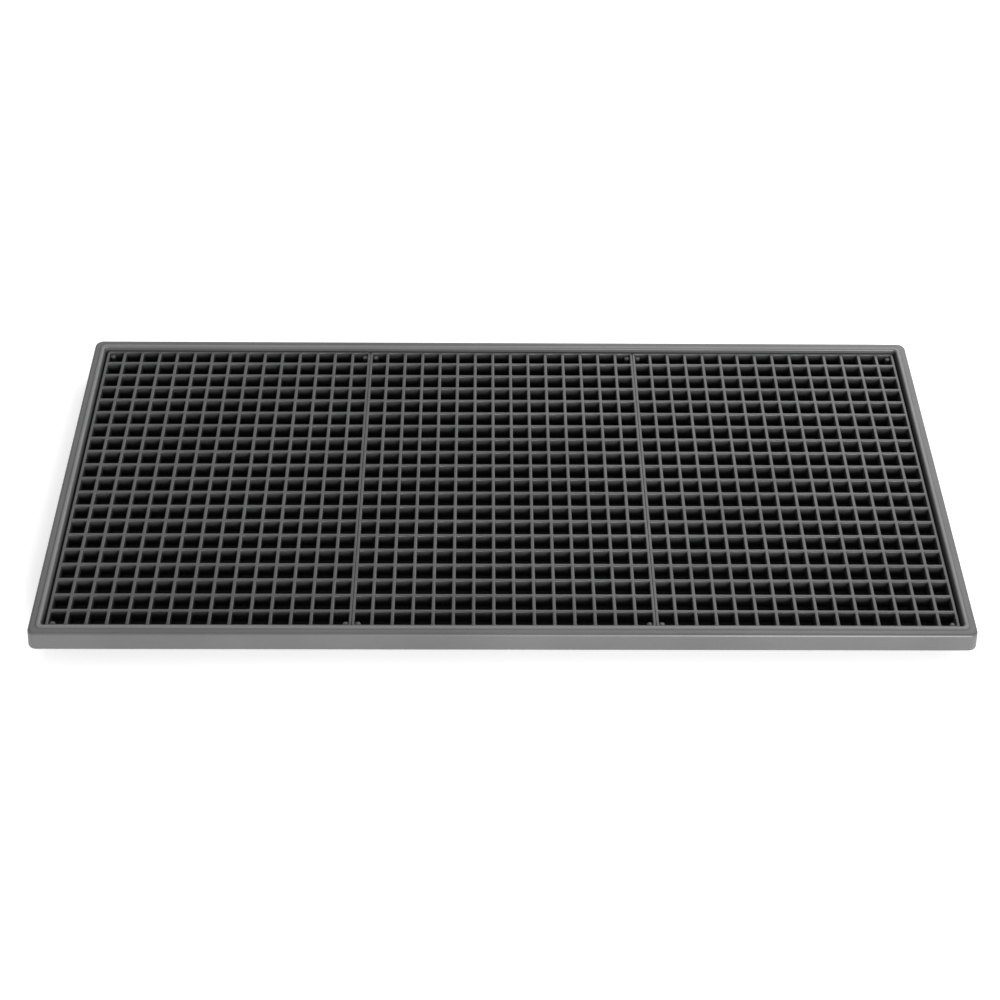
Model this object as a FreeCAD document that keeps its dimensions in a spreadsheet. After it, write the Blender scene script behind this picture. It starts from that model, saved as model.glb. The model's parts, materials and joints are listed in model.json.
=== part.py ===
"""Seedling heat mat in a rigid tray: three lift-out grid panels over a heated double bottom.

The frame is +X along the tray, +Y to the back, +Z up, with the origin under the tray's centre on
the surface that its feet stand on. Lengths are millimetres.
"""
import FreeCAD, Part
import math
import os

import Sketcher
from FreeCAD import Placement, Rotation, Vector

DIMENSIONS = {
    # grid panels
    "cell_pitch": 12.7,
    "panel_columns": 15,
    "panel_rows": 20,
    "panel_count": 3,
    "panel_gap": 0.3,
    "panel_corner": 1.6,
    "rib_width": 2.2,
    "edge_rib_width": 1.7,
    "rib_lift": 0.5,
    "panel_height": 9.8,
    "post_diameter": 4,
    "post_inset": 3.6,
    "post_drop": 1.5,
    # tray
    "well_gap_length": 1.8,
    "well_gap_depth": 0.7,
    "well_corner": 2,
    "rim_width": 7.6,
    "rim_height": 25.8,
    "rim_thickness": 2,
    "rim_edge_round": 2,
    "ridge_width": 3.7,
    "ridge_height": 0.7,
    "ridge_inner_round": 1.5,
    "ridge_outer_round": 0.5,
    "wall": 2,
    "floor_top": 13.5,
    "floor_thickness": 1.5,
    "skirt_bottom": 12.4,
    "skirt_draft": 7.6,
    "skirt_corner": 5,
    # base cover, its seal, screws and feet
    "foot_height": 1.5,
    "foot_diameter": 16,
    "foot_pad_depth": 0.7,
    "foot_inset": 22,
    "cover_inset": 9.8,
    "cover_plate": 2,
    "cover_wall": 1.6,
    "cover_corner": 5,
    "seal_thickness": 0.8,
    "boss_diameter": 7,
    "boss_pilot": 2.2,
    "boss_row": 119,
    "boss_pitch": 136,
    "screw_diameter": 2.9,
    "screw_head": 5.6,
    "screw_head_depth": 1.6,
    "screw_length": 8,
    # heater
    "sheet_thickness": 0.3,
    "heater_length": 532,
    "heater_front": 112,
    "heater_back": 100,
    "wire_diameter": 1.6,
    "wire_pitch": 22,
    "wire_runs": 10,
    "wire_back_run": 92,
    "wire_left_turn": 246,
    "wire_right_turn": 232,
    "wire_return": 256,
    "lead_diameter": 1.6,
    # cable entry and terminals
    "gland_offset": 225,
    "gland_level": 7.6,
    "gland_bore": 5.2,
    "gland_barrel": 6.4,
    "gland_flange": 8.4,
    "gland_flange_thickness": 1.5,
    "gland_nose": 4.4,
    "gland_barrel_length": 5.2,
    "nut_width": 8,
    "nut_thickness": 2,
    "terminal_offset": 196,
    "terminal_row": 113,
    "terminal_length": 20,
    "terminal_depth": 11,
    "terminal_height": 7,
    "terminal_pitch": 9,
    "cutout_offset": 164,
    "cutout_row": 108,
    "cutout_length": 18,
    "cutout_depth": 6,
    "cutout_height": 3.6,
    "clamp_length": 22,
    "clamp_depth": 5,
    "clamp_height": 7,
    "clamp_row": 114,
    "clamp_screw_pitch": 15,
}

doc = FreeCAD.newDocument("seedling_heat_mat")
dims = doc.addObject("Spreadsheet::Sheet", "dims")
for row, (alias, number) in enumerate(DIMENSIONS.items(), start=1):
    dims.set("A%d" % row, alias)
    dims.set("B%d" % row, str(number))
    dims.setAlias("B%d" % row, alias)
DERIVED = {
    "panel_length": "=panel_columns * cell_pitch - panel_gap",
    "panel_depth": "=panel_rows * cell_pitch",
    "well_length": "=panel_count * panel_columns * cell_pitch + 2 * well_gap_length",
    "well_depth": "=panel_rows * cell_pitch + 2 * well_gap_depth",
    "rim_length": "=well_length + 2 * rim_width",
    "rim_depth": "=well_depth + 2 * rim_width",
    "ridge_length": "=well_length + 2 * ridge_width",
    "ridge_depth": "=well_depth + 2 * ridge_width",
    "ridge_top": "=rim_height + ridge_height",
    "floor_bottom": "=floor_top - floor_thickness",
    "cover_length": "=rim_length - 2 * cover_inset",
    "cover_depth": "=rim_depth - 2 * cover_inset",
    "cover_top": "=foot_height + cover_plate",
    "cover_wall_top": "=floor_bottom - seal_thickness",
    "foil_bottom": "=floor_bottom - sheet_thickness",
    "wire_level": "=foil_bottom - wire_diameter / 2",
    "backing_bottom": "=foil_bottom - wire_diameter - sheet_thickness",
}
for row, (alias, formula) in enumerate(DERIVED.items(), start=len(DIMENSIONS) + 1):
    dims.set("A%d" % row, alias)
    dims.set("B%d" % row, formula)
    dims.setAlias("B%d" % row, alias)
doc.recompute()

parts = []


def size(alias):
    """A driving or derived dimension as a number."""
    return float(dims.get(alias))


def bound(text):
    """An expression in which every sheet alias is written with the sheet's name."""
    words = []
    for word in text.replace("(", " ( ").replace(")", " ) ").split():
        words.append("dims." + word if word in DIMENSIONS or word in DERIVED else word)
    return " ".join(words)


def bind(item, prop, text):
    item.setExpression(prop, bound(text))


def new_body(label):
    body = doc.addObject("PartDesign::Body", label)
    body.Label = label
    parts.append(body)
    return body


def origin_item(body, role):
    return next(item for item in body.Origin.OriginFeatures if item.Role == role)


def new_sketch(body, name, level="0"):
    """A sketch on the body's XY plane, lifted to the given level."""
    sketch = body.newObject("Sketcher::SketchObject", name)
    sketch.AttachmentSupport = (origin_item(body, "XY_Plane"), [""])
    sketch.MapMode = "FlatFace"
    bind(sketch, "AttachmentOffset.Base.z", level)
    return sketch


def constrain(sketch, name, text, *constraint):
    """A named driving constraint bound to the sheet."""
    index = sketch.addConstraint(Sketcher.Constraint(*constraint))
    sketch.renameConstraint(index, name)
    bind(sketch, "Constraints." + name, text)


def add_rectangle(sketch, name, length, depth, left=None, front=None):
    """A rectangle of the given length (X) and depth (Y), centred unless left and front say where."""
    first = sketch.GeometryCount
    corners = [Vector(-9, -7, 0), Vector(9, -7, 0), Vector(9, 7, 0), Vector(-9, 7, 0)]
    if left is not None:
        corners = [corner + Vector(12, 9, 0) for corner in corners]
    for start, end in zip(corners, corners[1:] + corners[:1]):
        sketch.addGeometry(Part.LineSegment(start, end), False)
    for side in range(4):
        following = first + (side + 1) % 4
        sketch.addConstraint(Sketcher.Constraint("Coincident", first + side, 2, following, 1))
    for side in (0, 2):
        sketch.addConstraint(Sketcher.Constraint("Horizontal", first + side))
        sketch.addConstraint(Sketcher.Constraint("Vertical", first + side + 1))
    constrain(sketch, name + "_length", length, "DistanceX", first, 1, first, 2, 18)
    constrain(sketch, name + "_depth", depth, "DistanceY", first + 1, 1, first + 1, 2, 14)
    if left is None:
        sketch.addConstraint(Sketcher.Constraint("Symmetric", first, 1, first + 1, 2, -1, 1))
    else:
        constrain(sketch, name + "_left", left, "DistanceX", -1, 1, first, 1, 3)
        constrain(sketch, name + "_front", front, "DistanceY", -1, 1, first, 1, 2)


def add_circle(sketch, name, diameter, across="0", along="0"):
    """A circle whose centre lies across (X) and along (Y) from the sketch's origin."""
    index = sketch.addGeometry(Part.Circle(Vector(20, 10, 0), Vector(0, 0, 1), 2), False)
    constrain(sketch, name + "_diameter", diameter, "Diameter", index, 4)
    for axis, place, kind in (("x", across, "DistanceX"), ("y", along, "DistanceY")):
        constrain(sketch, name + "_" + axis, place, kind, -1, 1, index, 3, 10)


def pad(body, name, sketch, length, down=False, refine=True):
    feature = body.newObject("PartDesign::Pad", name)
    feature.Profile = sketch
    feature.Refine = refine
    feature.Reversed = down
    bind(feature, "Length", length)
    doc.recompute()
    return feature


def pocket(body, name, sketch, length, up=False):
    """A pocket that cuts downwards from its sketch, or upwards."""
    volume = body.Shape.Volume
    feature = body.newObject("PartDesign::Pocket", name)
    feature.Profile = sketch
    feature.Reversed = up
    bind(feature, "Length", length)
    doc.recompute()
    if body.Shape.Volume > volume - 0.01:
        raise RuntimeError(name + " cuts nothing")
    return feature


def round_edges(body, name, radius, chosen):
    """A fillet on the edges of the body's present shape that pass the test."""
    base = body.Tip
    names = ["Edge%d" % (i + 1) for i, edge in enumerate(base.Shape.Edges) if chosen(edge)]
    feature = body.newObject("PartDesign::Fillet", name)
    feature.Base = (base, names)
    bind(feature, "Radius", radius)
    doc.recompute()
    return feature


def row_of(body, name, original, role, length, count):
    """Copies of a feature along an origin axis, over the given overall length."""
    feature = body.newObject("PartDesign::LinearPattern", name)
    feature.Originals = [original]
    feature.Direction = (origin_item(body, role), [""])
    bind(feature, "Length", length)
    bind(feature, "Occurrences", count)
    body.Tip = feature
    doc.recompute()
    return feature


def is_upright(edge):
    """True for an edge whose two ends lie almost one above the other."""
    if len(edge.Vertexes) < 2:
        return False
    rise = edge.Vertexes[1].Point - edge.Vertexes[0].Point
    return rise.Length > 1e-6 and abs(rise.z) > 0.9 * rise.Length


def outline_at(level, length, depth):
    """Picks the edges of a centred rectangle with these sides, at this height."""
    height, half_length, half_depth = size(level), size(length) / 2, size(depth) / 2

    def on_outline(edge):
        box = edge.BoundBox
        reach_x = max(box.XMax, -box.XMin)
        reach_y = max(box.YMax, -box.YMin)
        return (abs(box.ZMin - height) < 0.01 and abs(box.ZMax - height) < 0.01
                and (abs(reach_x - half_length) < 0.05 and reach_y < half_depth + 0.05
                     or abs(reach_y - half_depth) < 0.05 and reach_x < half_length + 0.05))

    return on_outline


def solid_part(label, shape, place=Vector()):
    """A sub-part whose shape is made with Part's own functions."""
    item = doc.addObject("Part::Feature", label)
    item.Label = label
    item.Shape = shape
    item.Placement = Placement(place, Rotation())
    parts.append(item)
    return item


def tray_shell():
    """Skirt, flat rim with a raised inner ridge, and the well whose floor carries the heater."""
    body = new_body("tray_shell")
    outline = new_sketch(body, "rim_outline", "rim_height")
    add_rectangle(outline, "rim", "rim_length", "rim_depth")
    block = pad(body, "skirt_block", outline, "rim_height - skirt_bottom", down=True)
    bind(block, "TaperAngle", "skirt_draft")
    doc.recompute()
    round_edges(body, "skirt_corners", "skirt_corner", is_upright)

    inside = new_sketch(body, "skirt_inside", "rim_height - rim_thickness")
    add_rectangle(inside, "inside", "rim_length - 2 * wall", "rim_depth - 2 * wall")
    hollow = pocket(body, "skirt_hollow", inside, "rim_height - rim_thickness - skirt_bottom")
    bind(hollow, "TaperAngle", "skirt_draft")
    doc.recompute()

    well_block = new_sketch(body, "well_outline", "floor_bottom")
    add_rectangle(well_block, "well", "well_length + 2 * wall", "well_depth + 2 * wall")
    pad(body, "well_walls", well_block, "rim_height - floor_bottom")
    ridge = new_sketch(body, "ridge_outline", "rim_height")
    add_rectangle(ridge, "ridge", "ridge_length", "ridge_depth")
    pad(body, "ridge", ridge, "ridge_height")
    edge_level = size("ridge_top")
    round_edges(body, "ridge_corners", "well_corner + ridge_width", lambda edge: (
        is_upright(edge) and edge.BoundBox.ZMax > edge_level - 0.01))
    well = new_sketch(body, "well_opening", "ridge_top")
    add_rectangle(well, "opening", "well_length", "well_depth")
    pocket(body, "well", well, "ridge_top - floor_top")
    round_edges(body, "well_corners", "well_corner", lambda edge: (
        is_upright(edge) and edge.BoundBox.ZMax > edge_level - 0.01))
    for name, radius, level, length, depth in (
            ("rim_edge", "rim_edge_round", "rim_height", "rim_length", "rim_depth"),
            ("ridge_outer_edge", "ridge_outer_round", "ridge_top", "ridge_length", "ridge_depth"),
            ("ridge_inner_edge", "ridge_inner_round", "ridge_top", "well_length", "well_depth")):
        round_edges(body, name, radius, outline_at(level, length, depth))

    boss_sketch = new_sketch(body, "boss_outline", "floor_bottom")
    add_circle(boss_sketch, "boss", "boss_diameter", "-2 * boss_pitch", "-1 * boss_row")
    boss = pad(body, "boss", boss_sketch, "floor_bottom - cover_top", down=True)
    front_row = row_of(body, "boss_row_front", boss, "X_Axis", "4 * boss_pitch", "5")
    back_sketch = new_sketch(body, "back_boss_outline", "floor_bottom")
    add_circle(back_sketch, "back_boss", "boss_diameter", "-2 * boss_pitch", "boss_row")
    back_boss = pad(body, "back_boss", back_sketch, "floor_bottom - cover_top", down=True)
    row_of(body, "boss_row_back", back_boss, "X_Axis", "4 * boss_pitch", "5")
    for side, sign in (("front", "-1 * boss_row"), ("back", "boss_row")):
        pilot_sketch = new_sketch(body, side + "_pilot_outline", "cover_top")
        add_circle(pilot_sketch, "pilot", "boss_pilot", "-2 * boss_pitch", sign)
        depth = "screw_length - cover_plate + 0.8"
        pilot = pocket(body, side + "_pilot", pilot_sketch, depth, up=True)
        row_of(body, side + "_pilots", pilot, "X_Axis", "4 * boss_pitch", "5")


def place_panel(body, column):
    """Stands a panel on the tray's floor, a whole number of panels from the middle."""
    bind(body, "Placement.Base.x", "%d * panel_columns * cell_pitch" % column)
    bind(body, "Placement.Base.z", "floor_top")


def grid_panel(label):
    """A slab pierced by square cells, with a full rib round its edge and four round posts in its
    corner cells that it stands on."""
    body = new_body(label)
    slab = new_sketch(body, label + "_outline", "rib_lift")
    add_rectangle(slab, "panel", "panel_length", "panel_depth")
    pad(body, label + "_slab", slab, "panel_height - rib_lift")

    cell = new_sketch(body, label + "_cell_outline", "panel_height")
    add_rectangle(cell, "cell", "cell_pitch - rib_width", "cell_pitch - rib_width",
                  "-0.5 * panel_columns * cell_pitch + 0.5 * rib_width",
                  "-0.5 * panel_rows * cell_pitch + 0.5 * rib_width")
    first = pocket(body, label + "_first_cell", cell, "panel_height")
    cells = body.newObject("PartDesign::LinearPattern", label + "_cells")
    cells.Originals = [first]
    cells.Refine = False
    cells.Direction = (origin_item(body, "X_Axis"), [""])
    cells.Direction2 = (origin_item(body, "Y_Axis"), [""])
    bind(cells, "Occurrences", "panel_columns")
    bind(cells, "Length", "( panel_columns - 1 ) * cell_pitch")
    bind(cells, "Occurrences2", "panel_rows")
    bind(cells, "Length2", "( panel_rows - 1 ) * cell_pitch")
    body.Tip = cells
    doc.recompute()

    edge = new_sketch(body, label + "_edge_outline", "rib_lift")
    add_rectangle(edge, "outer", "panel_length", "panel_depth")
    add_rectangle(edge, "inner", "panel_length - 2 * edge_rib_width",
                  "panel_depth - 2 * edge_rib_width",
                  "-0.5 * panel_length + edge_rib_width", "-0.5 * panel_depth + edge_rib_width")
    pad(body, label + "_edge_rib", edge, "panel_height - rib_lift", refine=False)
    half_length = size("panel_length") / 2
    round_edges(body, label + "_corners", "panel_corner", lambda edge: (
        is_upright(edge) and abs(abs(edge.BoundBox.XMin) - half_length) < 0.01
        and abs(abs(edge.BoundBox.YMin) - size("panel_depth") / 2) < 0.01))

    posts = new_sketch(body, label + "_post_outline")
    for side, across in (("left", "-0.5 * panel_length + post_inset"),
                         ("right", "0.5 * panel_length - post_inset")):
        for end, place in (("front", "-0.5 * panel_depth + post_inset"),
                           ("back", "0.5 * panel_depth - post_inset")):
            add_circle(posts, side + "_" + end, "post_diameter", across, place)
    pad(body, label + "_posts", posts, "panel_height - post_drop")
    return body


def grid_panels():
    """Three panels from one mould: the other two take their shape from the first."""
    first = grid_panel("grid_panel_left")
    place_panel(first, -1)
    for column, label in enumerate(("grid_panel_centre", "grid_panel_right")):
        panel = new_body(label)
        panel.BaseFeature = first
        place_panel(panel, column)


def base_cover():
    """The shallow dish that closes the underside, with countersunk screw holes and foot pads."""
    body = new_body("base_cover")
    outline = new_sketch(body, "cover_outline", "foot_height")
    add_rectangle(outline, "cover", "cover_length", "cover_depth")
    pad(body, "cover_block", outline, "cover_wall_top - foot_height")
    round_edges(body, "cover_corners", "cover_corner", is_upright)
    inside = new_sketch(body, "cover_inside", "cover_wall_top")
    add_rectangle(inside, "inside", "cover_length - 2 * cover_wall", "cover_depth - 2 * cover_wall")
    pocket(body, "cover_hollow", inside, "cover_wall_top - cover_top")
    inner_half = size("cover_length") / 2 - size("cover_wall")
    round_edges(body, "cover_inner_corners", "cover_corner - cover_wall", lambda edge: (
        is_upright(edge) and abs(abs(edge.BoundBox.XMin) - inner_half) < 0.01))

    for side, place in (("front", "-1 * boss_row"), ("back", "boss_row")):
        for kind, width, depth in (("head", "screw_head", "screw_head_depth"),
                                   ("shank", "screw_diameter + 0.3", "cover_plate + 1")):
            hole = new_sketch(body, side + "_" + kind + "_outline", "foot_height")
            add_circle(hole, kind, width, "-2 * boss_pitch", place)
            cut = pocket(body, side + "_" + kind, hole, depth, up=True)
            row_of(body, side + "_" + kind + "_holes", cut, "X_Axis", "4 * boss_pitch", "5")
    seats = new_sketch(body, "foot_seat_outline", "foot_height")
    for name, across, along in foot_places():
        add_circle(seats, name, "foot_diameter + 0.2", across, along)
    pocket(body, "foot_seats", seats, "foot_pad_depth", up=True)

    entry = body.newObject("Sketcher::SketchObject", "cable_entry_outline")
    entry.AttachmentSupport = (origin_item(body, "XZ_Plane"), [""])
    entry.MapMode = "FlatFace"
    bind(entry, "AttachmentOffset.Base.z", "-0.5 * cover_depth")
    add_circle(entry, "entry", "gland_barrel + 0.2", "gland_offset", "gland_level")
    pocket(body, "cable_entry", entry, "cover_wall", up=True)


def foot_places():
    """Name, X and Y of each foot: three along the front and three along the back."""
    places = []
    for end, along in (("front", "-0.5 * cover_depth + foot_inset"),
                       ("rear", "0.5 * cover_depth - foot_inset")):
        for side, across in (("left", "-0.5 * cover_length + foot_inset"), ("centre", "0"),
                             ("right", "0.5 * cover_length - foot_inset")):
            places.append((end + "_" + side, across, along))
    return places


def feet():
    """Round rubber feet, each let into its seat in the cover and slightly domed at the edge."""
    for name, across, along in foot_places():
        body = new_body("foot_" + name)
        outline = new_sketch(body, "foot_%s_outline" % name)
        add_circle(outline, "foot", "foot_diameter")
        pad(body, "foot_%s_disc" % name, outline, "foot_height + foot_pad_depth")
        round_edges(body, "foot_%s_edge" % name, "foot_height / 3", lambda edge: (
            edge.BoundBox.ZMax < 0.01 and edge.Closed))
        bind(body, "Placement.Base.x", across)
        bind(body, "Placement.Base.y", along)


def base_seal():
    """A flat rubber ring on the cover's wall, pressed against the underside of the tray's floor."""
    body = new_body("base_seal")
    ring = new_sketch(body, "seal_outline", "cover_wall_top")
    add_rectangle(ring, "outer", "cover_length - 0.2", "cover_depth - 0.2")
    pad(body, "seal_sheet", ring, "seal_thickness")
    opening = new_sketch(body, "seal_opening", "floor_bottom")
    add_rectangle(opening, "inner", "cover_length - 2 * cover_wall + 0.2",
                  "cover_depth - 2 * cover_wall + 0.2")
    pocket(body, "seal_inside", opening, "seal_thickness")
    outer_half = size("cover_length") / 2 - 0.1
    round_edges(body, "seal_inner_corners", "cover_corner - cover_wall", lambda edge: (
        is_upright(edge) and abs(edge.BoundBox.XMin) < outer_half - 1))
    round_edges(body, "seal_corners", "cover_corner - 0.1", lambda edge: (
        is_upright(edge) and abs(edge.BoundBox.XMin) > outer_half - 0.01))


def base_screws():
    """Ten countersunk screws up through the cover into the bosses, each with a cross recess."""
    head_radius = size("screw_head") / 2 - 0.1
    shank_radius = size("boss_pilot") / 2
    head_depth = size("screw_head_depth") - 0.1
    profile = Part.makePolygon([
        Vector(0, 0, 0), Vector(head_radius, 0, 0), Vector(head_radius, 0, 0.3),
        Vector(shank_radius, 0, head_depth), Vector(shank_radius, 0, size("screw_length") - 1),
        Vector(0, 0, size("screw_length")), Vector(0, 0, 0)])
    screw = Part.Face(profile).revolve(Vector(), Vector(0, 0, 1), 360)
    slot = Part.makeBox(2.8, 0.6, 0.7, Vector(-1.4, -0.3, 0))
    cross = slot.fuse(slot.rotated(Vector(), Vector(0, 0, 1), 90))
    screw = screw.cut(cross)
    solids = []
    for along in (-1, 1):
        for across in range(-2, 3):
            place = Vector(across * size("boss_pitch"), along * size("boss_row"),
                           size("foot_height") + 0.1)
            solids.append(screw.translated(place))
    solid_part("base_screws", Part.makeCompound(solids))


def heater_sheet(label, level, thickness, margin):
    """A flat sheet of the heater's outline, grown by a margin on every side."""
    body = new_body(label)
    outline = new_sketch(body, label + "_outline", level)
    add_rectangle(outline, "sheet", "heater_length + %s" % (2 * margin),
                  "heater_front + heater_back + %s" % (2 * margin),
                  "-0.5 * heater_length - %s" % margin, "-1 * heater_front - %s" % margin)
    pad(body, label + "_sheet", outline, thickness)
    round_edges(body, label + "_corners", "cover_corner", is_upright)


def tube(points, bend, diameter):
    """A round tube along straight runs joined by tangent arcs of one bend radius."""
    edges = []
    start = points[0]
    for before, corner, after in zip(points, points[1:], points[2:]):
        arriving = (corner - before).normalize()
        leaving = (after - corner).normalize()
        turn = arriving.getAngle(leaving)
        reach = bend * math.tan(turn / 2)
        begin = corner - arriving * reach
        finish = corner + leaving * reach
        inward = (leaving - arriving).normalize()
        middle = corner + inward * (bend / math.cos(turn / 2) - bend)
        if (begin - start).Length > 1e-6:
            edges.append(Part.LineSegment(start, begin).toShape())
        edges.append(Part.Arc(begin, middle, finish).toShape())
        start = finish
    edges.append(Part.LineSegment(start, points[-1]).toShape())
    path = Part.Wire(edges)
    ring = Part.Wire(Part.Circle(points[0], points[1] - points[0], diameter / 2).toShape())
    return path.makePipeShell([ring], True, False)


def heating_wire():
    """The insulated resistance wire: parallel runs from the back to the front and one way back."""
    level = size("wire_level")
    turn = size("wire_pitch") / 2
    left = -size("wire_left_turn") - turn
    right = size("wire_right_turn") + turn
    back = size("wire_back_run")
    points = [Vector(right, size("heater_back") - 2, level)]
    for run in range(int(size("wire_runs"))):
        row = back - run * size("wire_pitch")
        ends = (right, left) if run % 2 == 0 else (left, right)
        points += [Vector(end, row, level) for end in ends]
    last_row = points[-1].y
    points[-1] = Vector(size("wire_return"), last_row, level)
    points.append(Vector(size("wire_return"), size("heater_back") - 2, level))
    shape = tube(points, 5.9, size("wire_diameter"))
    solid_part("heating_wire", shape)


def leads():
    """Terminal to thermal cutout, cutout to heater, and heater back to the other terminal."""
    width = size("lead_diameter")
    level = size("wire_level")
    wire_end = size("heater_back") - 2
    lane = size("heater_back") + 4
    first = size("wire_right_turn") + size("wire_pitch") / 2
    back = size("wire_return")
    low = size("cover_top") + 3.4
    cutout_right = size("cutout_offset") + size("cutout_length") / 2
    cutout_left = size("cutout_offset") - size("cutout_length") / 2
    front_face = size("terminal_row") - size("terminal_depth") / 2
    half = size("terminal_pitch") / 2
    live = size("terminal_offset") - half
    neutral = size("terminal_offset") + half
    row = size("cutout_row")
    solid_part("lead_live", tube([
        Vector(live, front_face, low), Vector(live, lane, low),
        Vector(live - 7, lane, low), Vector(live - 7, row, low),
        Vector(cutout_right, row, low)], 1.9, width))
    solid_part("lead_neutral", tube([
        Vector(neutral, front_face, low), Vector(neutral, lane, low),
        Vector(back, lane, low), Vector(back, lane, level), Vector(back, wire_end, level)],
        1.9, width))
    solid_part("lead_heater", tube([
        Vector(cutout_left, row, low), Vector(cutout_left - 6, row, low),
        Vector(cutout_left - 6, lane, low), Vector(cutout_left - 6, lane, level),
        Vector(first, lane, level), Vector(first, wire_end, level)], 1.9, width))


def thermal_cutout():
    """A small sealed thermal fuse with an axial lead at each end, and its spring clip."""
    length = size("cutout_length")
    depth = size("cutout_depth")
    height = size("cutout_height")
    centre = Vector(size("cutout_offset"), size("cutout_row"), size("cover_top") + 3.4)
    case = Part.makeBox(length, depth, height, Vector(-length / 2, -depth / 2, -height / 2))
    upright = [edge for edge in case.Edges if is_upright(edge)]
    case = case.makeFillet(1.2, upright)
    solid_part("thermal_cutout", case, centre)
    strip = 0.6
    outer = Part.makeBox(5, depth + 2 * strip, height / 2 + 3.4 + strip,
                         Vector(-2.5, -depth / 2 - strip, -3.4))
    inner = Part.makeBox(5, depth, height / 2 + 3.4, Vector(-2.5, -depth / 2, -3.4))
    clip = outer.cut(inner)
    solid_part("cutout_clip", clip, centre)


def terminals():
    """A two-way terminal block with its clamping screws, screwed down to the cover."""
    length = size("terminal_length")
    depth = size("terminal_depth")
    height = size("terminal_height")
    half = size("terminal_pitch") / 2
    centre = Vector(size("terminal_offset"), size("terminal_row"), size("cover_top"))
    block = Part.makeBox(length, depth, height, Vector(-length / 2, -depth / 2, 0))
    block = block.makeFillet(0.8, [edge for edge in block.Edges if is_upright(edge)])
    passage = Part.makeCylinder(1.3, depth + 2, Vector(0, -depth / 2 - 1, 3.4), Vector(0, 1, 0))
    well = Part.makeCylinder(1.8, height, Vector(0, 0, 3.4))
    screws = []
    for across in (-half, half):
        block = block.cut(passage.translated(Vector(across, 0, 0)))
        block = block.cut(well.translated(Vector(across, -2.6, 0)))
        screw = Part.makeCylinder(1.6, 2.2, Vector(across, -2.6, height - 2.4))
        slot = Part.makeBox(3.4, 0.5, 0.6, Vector(across - 1.7, -2.85, height - 0.8))
        screws.append(screw.cut(slot))
    fixing = Part.makeCylinder(1.25, height, Vector(0, 1.6, 0))
    sink = Part.makeCylinder(2.4, 2.2, Vector(0, 1.6, height - 2.2))
    block = block.cut(fixing).cut(sink)
    solid_part("terminal_block", block, centre)
    solid_part("terminal_screws", Part.makeCompound(screws), centre)
    fixing_screw = Part.makeCylinder(1.15, height - 2.2, Vector(0, 1.6, 0))
    fixing_screw = fixing_screw.fuse(Part.makeCylinder(2.2, 1.4, Vector(0, 1.6, height - 2.2)))
    fixing_screw = fixing_screw.cut(Part.makeBox(3, 0.6, 0.6, Vector(-1.5, 1.3, height - 1.4)))
    solid_part("terminal_fixing_screw", fixing_screw, centre)


def cord_clamp():
    """The saddle that grips a cord against the cover just inside the gland, and its screws."""
    length = size("clamp_length")
    depth = size("clamp_depth")
    height = size("clamp_height")
    centre = Vector(size("gland_offset"), size("clamp_row"), size("cover_top"))
    bar = Part.makeBox(length, depth, height, Vector(-length / 2, -depth / 2, 0))
    bar = bar.makeFillet(1, [edge for edge in bar.Edges if is_upright(edge)])
    bore = size("gland_bore") / 2
    level = size("gland_level") - size("cover_top")
    saddle = Part.makeCylinder(bore, depth + 2, Vector(0, -depth / 2 - 1, level), Vector(0, 1, 0))
    throat = Part.makeBox(2 * bore, depth + 2, level, Vector(-bore, -depth / 2 - 1, 0))
    bar = bar.cut(saddle).cut(throat)
    screws = []
    for side in (-1, 1):
        place = Vector(side * size("clamp_screw_pitch") / 2, 0, 0)
        shank = Part.makeCylinder(1.15, height - 1.6, place)
        head = Part.makeCylinder(2.1, 1.6, place + Vector(0, 0, height - 1.6))
        bar = bar.cut(shank).cut(head)
        head = Part.makeCylinder(2.1, 1.4, place + Vector(0, 0, height - 1.6))
        slot = Part.makeBox(3.2, 0.6, 0.6, place + Vector(-1.6, -0.3, height - 0.8))
        screws.append(shank.fuse(head).cut(slot))
    solid_part("cord_clamp", bar, centre)
    solid_part("clamp_screws", Part.makeCompound(screws), centre)


def revolved(label, outline, place):
    """A ring turned about the Y axis from (radius, distance) corners, standing at a place."""
    corners = [Vector(radius, distance, 0) for radius, distance in outline]
    face = Part.Face(Part.makePolygon(corners + corners[:1]))
    return solid_part(label, face.revolve(Vector(), Vector(0, 1, 0), 360), place)


def cable_gland():
    """Flanged gland with a tapered nose, its seal outside the cover's wall and its nut inside."""
    bore = size("gland_bore") / 2
    barrel = size("gland_barrel") / 2
    flange = size("gland_flange") / 2
    thick = size("gland_flange_thickness")
    nose = size("gland_nose")
    washer = 0.6
    inner = -size("gland_barrel_length") + washer
    place = Vector(size("gland_offset"), size("cover_depth") / 2 + washer, size("gland_level"))
    revolved("cable_gland", [
        (bore, inner), (barrel, inner), (barrel, 0), (flange, 0), (flange, thick - 0.4),
        (flange - 0.4, thick), (barrel + 0.5, thick), (barrel, thick + nose - 0.5),
        (barrel - 0.3, thick + nose), (bore, thick + nose)], place)
    revolved("gland_seal", [
        (barrel, -washer), (flange - 0.2, -washer), (flange - 0.2, 0), (barrel, 0)], place)
    thickness = size("nut_thickness")
    across = size("nut_width") / 2
    corner = across / math.cos(math.radians(30))
    angles = [math.radians(60 * step) for step in range(7)]
    face = Part.Face(Part.makePolygon([
        Vector(corner * math.cos(a), 0, corner * math.sin(a)) for a in angles]))
    nut = face.extrude(Vector(0, -thickness, 0))
    nut = nut.cut(Part.makeCylinder(barrel, 3 * thickness, Vector(0, -2 * thickness, 0),
                                    Vector(0, 1, 0)))
    wall = size("cover_wall") + washer
    solid_part("gland_nut", nut, place + Vector(0, -wall, 0))


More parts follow.
